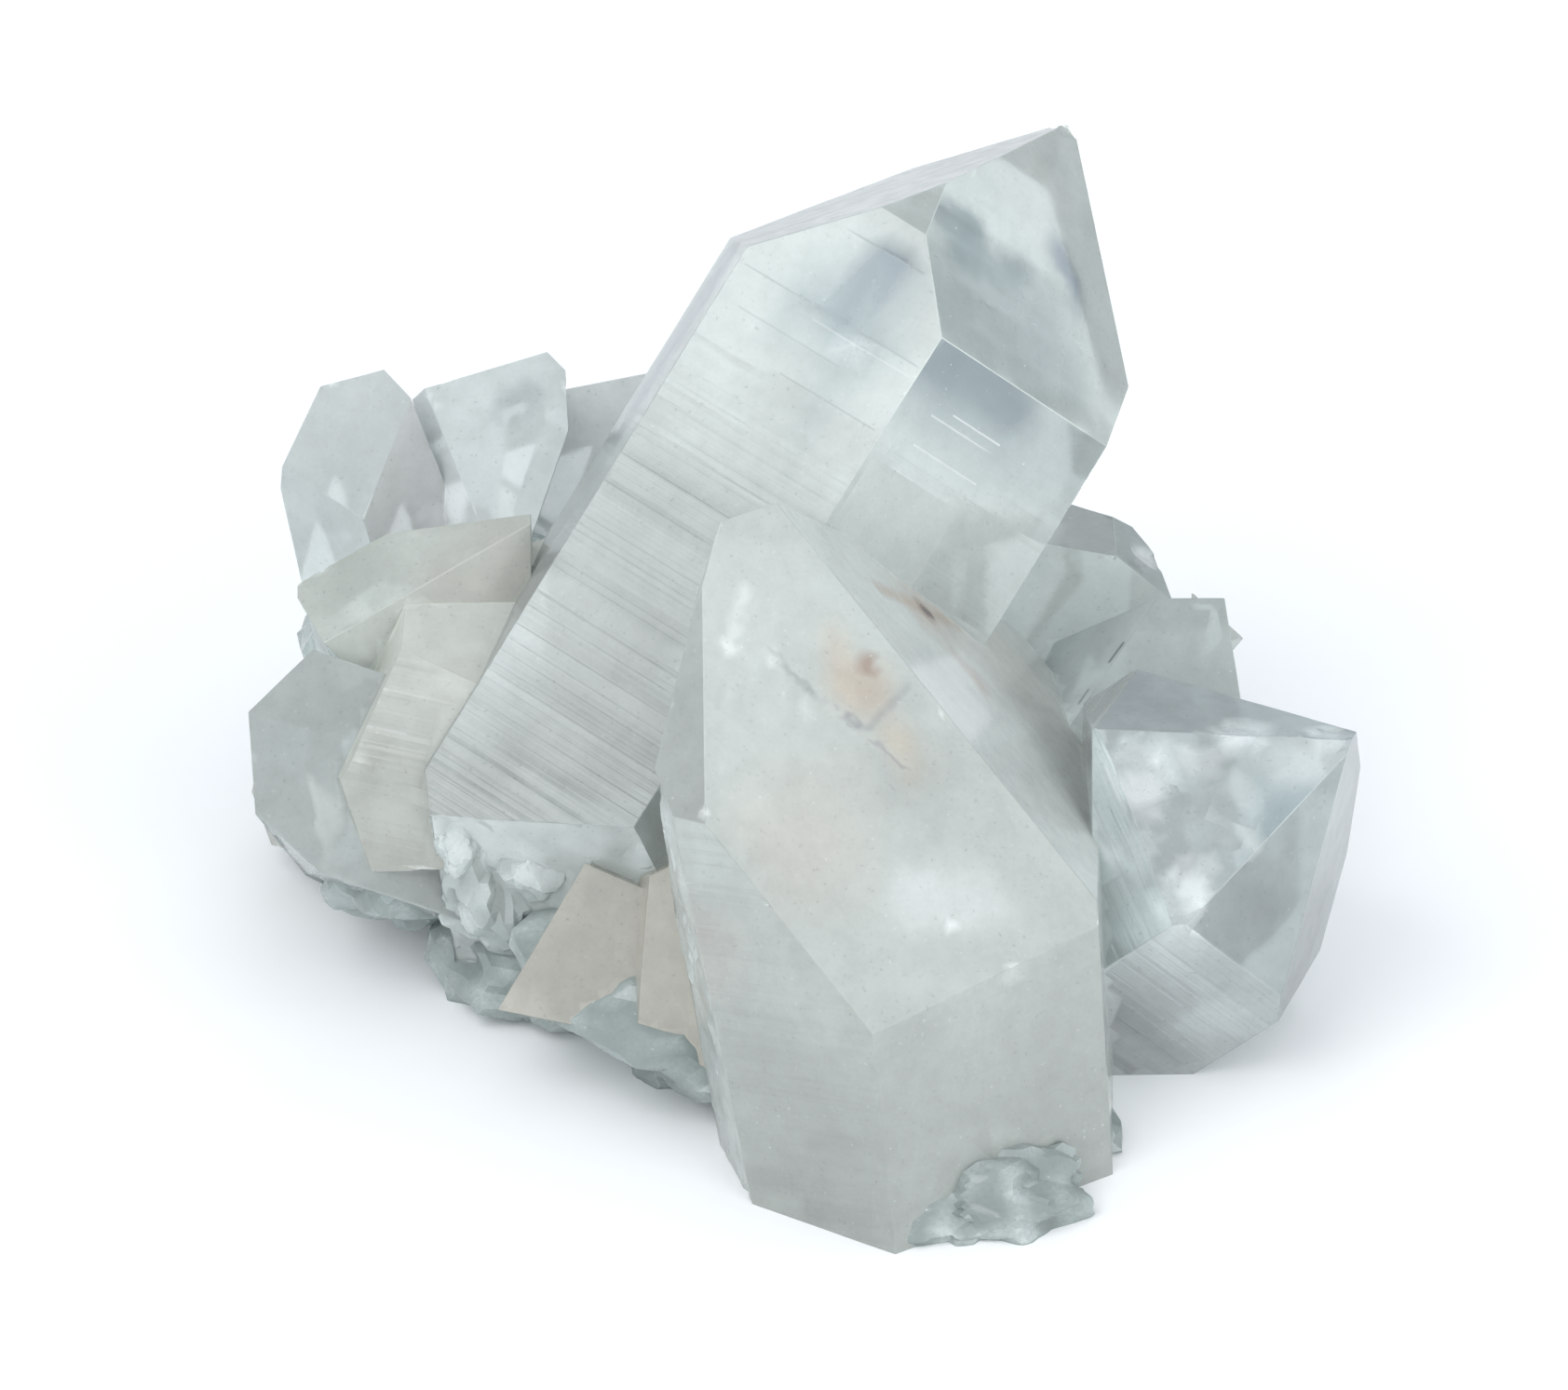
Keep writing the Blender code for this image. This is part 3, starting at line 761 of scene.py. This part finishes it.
def far_crystals():
    return [
        crystal(
            "far_left",
            tip=(-30.0, 55.0, 27.0), lean=62.0, heading=112.0, turn=20.0,
            prism=(7.0, 8.0, 7.5, 8.5, 7.0, 8.0), ends=(0.0, -0.8, 0.3, -0.5, 0.6, -0.3), length=36.0,
        ),
        crystal(
            "far_middle",
            tip=(-2.0, 55.0, 37.0), lean=38.0, heading=98.0, turn=50.0,
            prism=(8.5, 9.5, 8.0, 8.5, 9.0, 8.0), ends=(0.4, -1.0, 0.0, 0.6, -0.6, 0.0), length=44.0,
        ),
        crystal(
            "far_right",
            tip=(24.0, 55.0, 22.0), lean=68.0, heading=62.0, turn=10.0,
            prism=(6.0, 7.0, 6.5, 6.0, 7.5, 6.0), ends=(0.0, 0.5, -0.6, 0.0, 0.4, -0.5), length=30.0,
        ),
        crystal(
            "far_low",
            tip=(9.0, 56.0, 14.0), lean=78.0, heading=85.0, turn=35.0,
            prism=(4.0, 4.5, 4.0, 4.2, 4.6, 4.0), ends=(0.0, 0.3, -0.3, 0.0, 0.3, -0.2), length=26.0,
        ),
        crystal(
            "right_low",
            tip=(46.0, 26.0, 16.0), lean=66.0, heading=12.0, turn=25.0,
            prism=(5.0, 5.5, 5.2, 5.0, 5.6, 5.0), ends=(0.0, 0.4, -0.4, 0.2, 0.4, -0.5), length=26.0,
        ),
    ]


def druse():
    rng = random.Random(DRUSE_SEED)
    points = []
    for i in range(DRUSE_COUNT):
        step = i + rng.uniform(-0.3, 0.3)
        around = DRUSE_ARC[0] + (DRUSE_ARC[1] - DRUSE_ARC[0]) * step / (DRUSE_COUNT - 1)
        height = rng.uniform(*DRUSE_HEIGHT)
        half = rng.uniform(*DRUSE_WIDTH) / 2.0 * rng.choice((1.0, 1.0, 1.5))
        lean = rng.uniform(35.0, 75.0)
        root = Vector((
            DRUSE_RING_MIDDLE[0] + DRUSE_RING[0] * math.cos(math.radians(around)),
            DRUSE_RING_MIDDLE[1] + DRUSE_RING[1] * math.sin(math.radians(around)),
            height,
        ))
        heading = around + rng.uniform(-25.0, 25.0)
        tip = root + direction(heading, 90.0 - lean) * DRUSE_REACH * rng.uniform(0.5, 1.0)
        points.append(crystal(
            f"druse_{i}", tip, lean, heading, rng.uniform(0.0, 60.0),
            prism=[half * rng.uniform(0.9, 1.15) for _ in range(SIDES)],
            ends=[rng.uniform(-0.2, 0.2) for _ in range(SIDES)],
            length=DRUSE_REACH * 2.2,
            front=False,
        ))
    return points


def lump(centre, radii, seed, roughness=0.18, kind="foot"):
    """Broken piece of the foot, finer than the solid's and with small angular flats."""
    bm = bmesh.new()
    size = max(radii)
    fineness = (4 if size < 10 else 5) - 0
    bmesh.ops.create_icosphere(bm, subdivisions=fineness, radius=1.0)
    along = bm.verts.layers.float.new("along")
    frost = bm.verts.layers.float.new("frost")
    tint = bm.loops.layers.float_color.new("tint")
    clear = bm.faces.layers.float.new("clear")
    bm.verts.layers.float.new("stripe")
    cloud = bm.verts.layers.float.new("cloud")
    bm.faces.layers.float.new("zone")
    offset = Vector((seed * 3.7, seed * 1.9, seed * 5.3))
    for vertex in bm.verts:
        swell = 1.0 + 2.0 * roughness * noise.noise(vertex.co * 1.6 + offset)
        swell += 0.5 * roughness * noise.noise(vertex.co * 4.1 + offset)
        ball = vertex.co * swell
        outward = vertex.co.normalized()
        place = Vector([ball[i] * radii[i] + centre[i] for i in range(3)])
        rough = broken_relief(place, 5.0, 0.8, seed)
        rough += broken_relief(place, 1.8, 0.22, seed + 2.0)
        rough -= 0.1
        vertex.co = place + outward * rough
        vertex[along] = place.z
        vertex[cloud] = cloud_at(place)
        vertex[frost] = max(0.0, 0.15 + 0.5 * noise.noise(place * 0.35 + offset))
    for face in bm.faces:
        face[clear] = USUAL_CLEAR
        for corner in face.loops:
            corner[tint] = (*TINTS[kind], 1.0)
    return bm


def foot_lumps():
    places = (
        ((2, 6, 9), (26, 26, 12)),
        ((15.5, -32, 5.5), (10, 7, 5)),
        ((-8, -8.5, 5.5), (6, 6.5, 4)),
        ((-22, 2, 7), (8, 8, 6)),
        ((-34, 8.5, 15), (7.5, 8.5, 6.5)),
        ((-30, 20, 10), (11, 11, 9)),
        ((23.5, -20, 5), (4.8, 7, 4.5)),
        ((27, 20, 11), (13, 15, 11)),
        ((0, 34, 12), (24, 13, 13)),
        ((-27, 32, 17), (17, 12, 14)),
    )
    return [lump(centre, radii, seed=i) for i, (centre, radii) in enumerate(places)]


def granular_lumps():
    """Low swellings of granular stone on the broken face under the tall crystal."""
    places = (
        ((-25.3, -3.4, 18.6), (4.6, 2.3, 7.0)),
        ((-21.0, -4.9, 20.8), (3.2, 1.7, 3.4)),
        ((-28.0, -3.6, 22.4), (2.4, 1.9, 3.0)),
    )
    return [
        lump(centre, radii, seed=20 + i, roughness=0.25, kind="granular")
        for i, (centre, radii) in enumerate(places)
    ]


def mesh_object(name, bm):
    """Object from a mesh in millimetres, moved so that the middle of the foot is the origin."""
    bmesh.ops.translate(bm, verts=bm.verts, vec=(-FOOT_MIDDLE[0], -FOOT_MIDDLE[1], -CUT_LEVEL))
    bmesh.ops.scale(bm, verts=bm.verts, vec=(MM, MM, MM))
    mesh = bpy.data.meshes.new(name)
    bm.to_mesh(mesh)
    bm.free()
    return bpy.data.objects.new(name, mesh)


def grown_mesh():
    """One closed mesh of all the crystals and lumps, cut flat underneath."""
    lumps = foot_lumps()
    core = mesh_object("core", lumps[0])
    bpy.context.scene.collection.objects.link(core)
    grown = bpy.data.collections.new("grown")
    bpy.context.scene.collection.children.link(grown)
    crystals = main_crystals() + stubs() + far_crystals() + druse()
    for i, bm in enumerate(crystals + lumps[1:] + granular_lumps()):
        grown.objects.link(mesh_object(f"shape_{i}", bm))
    bm = bmesh.new()
    bmesh.ops.create_cube(bm, size=CUT_BOX)
    bmesh.ops.translate(bm, verts=bm.verts, vec=(0.0, 0.0, CUT_LEVEL - CUT_BOX / 2.0))
    ground = mesh_object("ground", bm)
    bpy.context.scene.collection.objects.link(ground)
    join = core.modifiers.new("join", "BOOLEAN")
    join.operation = "UNION"
    join.solver = "MANIFOLD"
    join.operand_type = "COLLECTION"
    join.collection = grown
    cut = core.modifiers.new("cut", "BOOLEAN")
    cut.operation = "DIFFERENCE"
    cut.solver = "MANIFOLD"
    cut.object = ground
    bpy.context.view_layer.update()
    joined = core.evaluated_get(bpy.context.evaluated_depsgraph_get())
    done = bpy.data.meshes.new_from_object(joined)
    for item in [core, ground, *grown.objects]:
        bpy.data.objects.remove(item, do_unlink=True)
    bpy.data.collections.remove(grown)
    return done


class Graph:
    """Short calls for building a node tree."""

    def __init__(self, tree):
        self.tree = tree

    def node(self, kind, **values):
        made = self.tree.nodes.new(kind)
        for key, value in values.items():
            setattr(made, key, value)
        return made

    def feed(self, socket, value):
        if isinstance(value, bpy.types.NodeSocket):
            self.tree.links.new(value, socket)
        else:
            socket.default_value = value

    def math(self, operation, a, b, clamp=False):
        made = self.node("ShaderNodeMath", operation=operation, use_clamp=clamp)
        self.feed(made.inputs[0], a)
        self.feed(made.inputs[1], b)
        if operation == "COMPARE":
            made.inputs[2].default_value = SAME_ZONE
        return made.outputs[0]

    def vector(self, operation, a, b=(0.0, 0.0, 0.0)):
        made = self.node("ShaderNodeVectorMath", operation=operation)
        self.feed(made.inputs[0], a)
        if operation == "SCALE":
            self.feed(made.inputs["Scale"], b)
        else:
            self.feed(made.inputs[1], b)
        return made.outputs["Value" if operation in ("LENGTH", "DISTANCE", "DOT_PRODUCT") else 0]

    def mix(self, factor, a, b):
        made = self.node("ShaderNodeMix", data_type="RGBA", blend_type="MIX")
        self.feed(made.inputs[0], factor)
        self.feed(made.inputs[6], a)
        self.feed(made.inputs[7], b)
        return made.outputs[2]

    def noise(self, vector, scale, detail, rough, flat=False):
        made = self.node("ShaderNodeTexNoise", noise_dimensions="1D" if flat else "3D")
        if flat:
            self.feed(made.inputs["W"], vector)
        else:
            self.feed(made.inputs["Vector"], vector)
        made.inputs["Scale"].default_value = scale
        made.inputs["Detail"].default_value = detail
        made.inputs["Roughness"].default_value = rough
        return made.outputs[0]

    def span(self, value, low, high, to_low=0.0, to_high=1.0):
        made = self.node("ShaderNodeMapRange", clamp=True)
        self.feed(made.inputs[0], value)
        for socket, number in zip(list(made.inputs)[1:5], (low, high, to_low, to_high)):
            self.feed(socket, number)
        return made.outputs[0]

    def attribute(self, name, output):
        made = self.node("ShaderNodeAttribute", attribute_type="GEOMETRY", attribute_name=name)
        return made.outputs[output]


def placed(middle):
    """Place in millimetres of a point that is given from inside the cluster."""
    return (middle[0] - FOOT_MIDDLE[0], middle[1] - FOOT_MIDDLE[1], middle[2] - CUT_LEVEL)


# Fine stains and veils: zone or 0 for all, two ends of its middle line, inner and outer radius,
# colour, strength, and whether its outline wanders.
GREY = (0.40, 0.43, 0.43, 1.0)
MARKS = (
    (2, (8.2, -0.9, 46.0), (15.2, 9.3, 37.0), 0.3, 1.4, (0.58, 0.40, 0.27, 1.0), 0.5, True),
    (2, (12.1, 4.7, 40.7), (12.1, 4.7, 40.7), 0.4, 1.9, (0.36, 0.18, 0.12, 1.0), 0.75, True),
    (2, (12.1, 4.7, 40.7), (12.6, 5.1, 40.2), 0.25, 0.8, (0.07, 0.025, 0.02, 1.0), 0.95, False),
    (1, (7.0, -13.6, 45.6), (7.0, -13.6, 45.6), 0.4, 1.5, (0.42, 0.30, 0.24, 1.0), 0.7, True),
    (1, (-1.3, -15.0, 48.1), (2.0, -17.1, 44.7), 0.15, 0.55, GREY, 0.5, True),
    (1, (2.0, -17.1, 44.7), (6.8, -17.9, 41.9), 0.15, 0.6, GREY, 0.5, True),
    (1, (6.8, -17.9, 41.9), (10.1, -14.1, 43.7), 0.15, 0.6, GREY, 0.4, True),
    (1, (4.9, -17.4, 43.1), (11.5, -19.5, 38.4), 0.1, 0.4, (0.42, 0.42, 0.46, 1.0), 0.45, True),
    (1, (-3.4, -12.0, 51.5), (-4.6, -16.0, 48.6), 0.3, 1.1, (0.93, 0.95, 0.95, 1.0), 0.5, True),
    (0, (30.0, 18.3, 29.7), (28.8, 17.1, 28.6), 0.08, 0.3, (0.10, 0.14, 0.14, 1.0), 0.7, False),
    (0, (26.9, 15.2, 26.7), (26.1, 14.3, 25.9), 0.06, 0.25, (0.10, 0.14, 0.14, 1.0), 0.6, False),
)


def quartz_material():
    material = bpy.data.materials.new("milky_quartz")
    material.use_nodes = True
    tree = material.node_tree
    tree.nodes.clear()
    g = Graph(tree)
    out = g.node("ShaderNodeOutputMaterial")
    shader = g.node("ShaderNodeBsdfPrincipled", distribution="GGX")
    tree.links.new(shader.outputs[0], out.inputs["Surface"])
    volume = g.node("ShaderNodeVolumeAbsorption")
    volume.inputs["Color"].default_value = INSIDE_COLOUR
    volume.inputs["Density"].default_value = INSIDE_DENSITY
    tree.links.new(volume.outputs[0], out.inputs["Volume"])

    where = g.vector("SCALE", g.node("ShaderNodeTexCoord").outputs["Object"], 1.0 / MM)
    along = g.attribute("along", "Fac")
    frost = g.attribute("frost", "Fac")
    stripe = g.attribute("stripe", "Fac")
    tint = g.attribute("tint", "Color")
    clear = g.attribute("clear", "Fac")
    zone = g.attribute("zone", "Fac")
    clouds = g.attribute("cloud", "Fac")

    mottle = g.noise(where, 0.55, 1.0, 0.6)
    grain = g.noise(where, 2.6, 1.0, 0.6)
    bend = g.node("ShaderNodeCombineXYZ")
    for socket, value in zip(bend.inputs, (mottle, clouds, mottle)):
        tree.links.new(value, socket)
    wander = g.vector("SCALE", g.vector("SUBTRACT", bend.outputs[0], (0.5, 0.5, 0.5)), 2.5)
    loose = g.vector("ADD", where, wander)
    broad = g.span(g.noise(along, 0.30, 1.0, 0.5, flat=True), 0.52, 0.62)
    middling = g.span(g.noise(along, 1.05, 1.0, 0.6, flat=True), 0.52, 0.62)
    fine_lines = g.noise(along, 4.0, 1.0, 0.65, flat=True)
    patchy = g.span(clouds, 0.4, 0.6, 0.5, 1.0)
    striped = g.math("MULTIPLY", stripe, patchy)

    shade = g.math("ADD", g.span(clouds, 0.3, 0.7, 0.94, 1.05), g.span(mottle, 0.35, 0.65, -0.03, 0.025))
    line_shade = g.math("ADD", g.math("MULTIPLY", broad, -0.13), g.math("MULTIPLY", middling, -0.06))
    line_shade = g.math("ADD", line_shade, g.span(fine_lines, 0.3, 0.7, -0.03, 0.03))
    shade = g.math("ADD", shade, g.math("MULTIPLY", line_shade, striped))
    shade = g.math("ADD", shade, g.span(grain, 0.35, 0.65, -0.015, 0.015))
    # Painted shade: the colour darkens towards the bottom, to 0.8 of itself at the cut.
    height_mm = g.node("ShaderNodeSeparateXYZ")
    tree.links.new(where, height_mm.inputs[0])
    shade = g.math("MULTIPLY", shade, g.span(height_mm.outputs[2], 0.0, 20.0, 0.80, 1.0))
    colour = g.vector("SCALE", tint, shade)

    zones = {number: g.math("COMPARE", zone, float(number)) for number in set(ZONES.values())}
    for number, start, finish, core, end, mark, strength, wanders in MARKS:
        here = loose if wanders else where
        a = Vector(placed(start))
        run = Vector(placed(finish)) - a
        from_a = g.vector("SUBTRACT", here, tuple(a))
        if run.length > 0.0:
            reach = g.vector("DOT_PRODUCT", from_a, tuple(run))
            share = g.math("DIVIDE", reach, run.length_squared, clamp=True)
            gap = g.vector("DISTANCE", from_a, g.vector("SCALE", tuple(run), share))
        else:
            gap = g.vector("LENGTH", from_a)
        amount = g.span(gap, end, core, 0.0, strength)
        if number:
            amount = g.math("MULTIPLY", amount, zones[number])
        colour = g.mix(amount, colour, mark)

    colour = g.mix(g.span(grain, 0.30, 0.24, 0.0, 0.35), colour, DARK_SPECK)
    # Painted sparkle: pale specks from the grain noise stand for tiny glints.
    colour = g.mix(g.span(grain, 0.74, 0.80, 0.0, 0.5), colour, PAINTED_SPARKLE)
    white = g.math("MULTIPLY", frost, g.span(grain, 0.3, 0.62, 0.35, 1.0))
    colour = g.mix(g.math("MULTIPLY", white, 0.65), colour, FROST_COLOUR)
    tree.links.new(colour, shader.inputs["Base Color"])

    see = g.math("ADD", clear, g.span(clouds, 0.3, 0.7, -0.08, 0.08))
    see = g.math("SUBTRACT", see, g.math("MULTIPLY", frost, 0.45), clamp=True)
    tree.links.new(see, shader.inputs["Transmission Weight"])
    gloss = g.math("ADD", g.span(mottle, 0.3, 0.7, 0.12, 0.20), g.math("MULTIPLY", frost, 0.35))
    tree.links.new(gloss, shader.inputs["Roughness"])
    shader.inputs["IOR"].default_value = QUARTZ_IOR
    shader.inputs["Specular IOR Level"].default_value = SPECULAR_LEVEL

    height = g.math("MULTIPLY", g.math("ADD", middling, g.math("MULTIPLY", fine_lines, 0.35)), stripe)
    roughened = g.math("ADD", g.math("MULTIPLY", frost, 0.8), 0.06)
    height = g.math("ADD", height, g.math("MULTIPLY", grain, roughened))
    bump = g.node("ShaderNodeBump")
    bump.inputs["Strength"].default_value = 0.25
    bump.inputs["Distance"].default_value = BUMP_MM * MM
    tree.links.new(height, bump.inputs["Height"])
    tree.links.new(bump.outputs[0], shader.inputs["Normal"])
    return material


def make_cluster():
    """The joined crystals in place of the plain solid."""
    mesh = grown_mesh()
    mesh.materials.clear()
    mesh.materials.append(quartz_material())
    mesh.polygons.foreach_set("material_index", np.zeros(len(mesh.polygons), dtype=np.int32))
    mesh.polygons.foreach_set("use_smooth", np.ones(len(mesh.polygons), dtype=bool))
    mesh.set_sharp_from_angle(angle=math.radians(SHARP_DEGREES))
    cluster = bpy.data.objects.new("quartz_crystals", mesh)
    bpy.context.scene.collection.objects.link(cluster)
    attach(cluster, "root")
    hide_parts("quartz_cluster")


def make_floor():
    bm = bmesh.new()
    bmesh.ops.create_grid(bm, x_segments=1, y_segments=1, size=FLOOR_REACH)
    mesh = bpy.data.meshes.new("floor")
    bm.to_mesh(mesh)
    bm.free()
    floor = bpy.data.objects.new("floor", mesh)
    material = bpy.data.materials.new("floor")
    material.use_nodes = True
    shader = material.node_tree.nodes["Principled BSDF"]
    shader.inputs["Base Color"].default_value = (0.86, 0.87, 0.88, 1.0)
    shader.inputs["Roughness"].default_value = 0.9
    mesh.materials.append(material)
    bpy.context.scene.collection.objects.link(floor)


def make_lights():
    world = bpy.data.worlds.new("studio")
    world.use_nodes = True
    tree = world.node_tree
    g = Graph(tree)
    background = tree.nodes["Background"]
    # The room is darker behind the cluster, which the faces turned away from the front reflect.
    way = g.node("ShaderNodeSeparateXYZ")
    tree.links.new(g.node("ShaderNodeTexCoord").outputs["Generated"], way.inputs[0])
    behind = g.span(way.outputs[1], 0.0, 0.75)
    room = g.mix(behind, ROOM_IN_FRONT, ROOM_BEHIND)
    tree.links.new(room, background.inputs["Color"])
    background.inputs["Strength"].default_value = ROOM_STRENGTH
    bpy.context.scene.world = world
    for name, place, size, power in (
        ("key", (-300.0, -350.0, 600.0), 450.0, 1.7),
        ("fill", (380.0, -480.0, 150.0), 350.0, 1.3),
        ("back", (100.0, 520.0, 480.0), 500.0, 0.8),
    ):
        data = bpy.data.lights.new(name, "AREA")
        data.shape = "SQUARE"
        data.size = size * MM
        data.energy = power
        lamp = bpy.data.objects.new(name, data)
        lamp.location = [value * MM for value in place]
        aim = Vector(LIGHTS_AIM) - Vector(place)
        lamp.rotation_euler = aim.to_track_quat("-Z", "Y").to_euler()
        bpy.context.scene.collection.objects.link(lamp)


def make_camera():
    elevation = math.radians(CAMERA_ELEVATION)
    target = Vector(placed(CAMERA_TARGET))
    place = target + Vector((0.0, -math.cos(elevation), math.sin(elevation))) * CAMERA_DISTANCE
    data = bpy.data.cameras.new("camera")
    data.sensor_width = SENSOR_WIDTH
    data.lens = SENSOR_WIDTH * CAMERA_DISTANCE / (PICTURE_WIDTH * PIXEL_MM)
    data.clip_start = 0.01
    data.clip_end = 20.0
    camera = bpy.data.objects.new("camera", data)
    camera.location = place * MM
    camera.rotation_euler = (target - place).to_track_quat("-Z", "Y").to_euler()
    bpy.context.scene.collection.objects.link(camera)
    bpy.context.scene.camera = camera
    bpy.context.scene.view_settings.view_transform = "Standard"


make_cluster()
make_floor()
make_lights()
make_camera()

cycles = bpy.context.scene.cycles
cycles.max_bounces = LIGHT_TURNS
cycles.transmission_bounces = LIGHT_TURNS

bpy.context.view_layer.update()
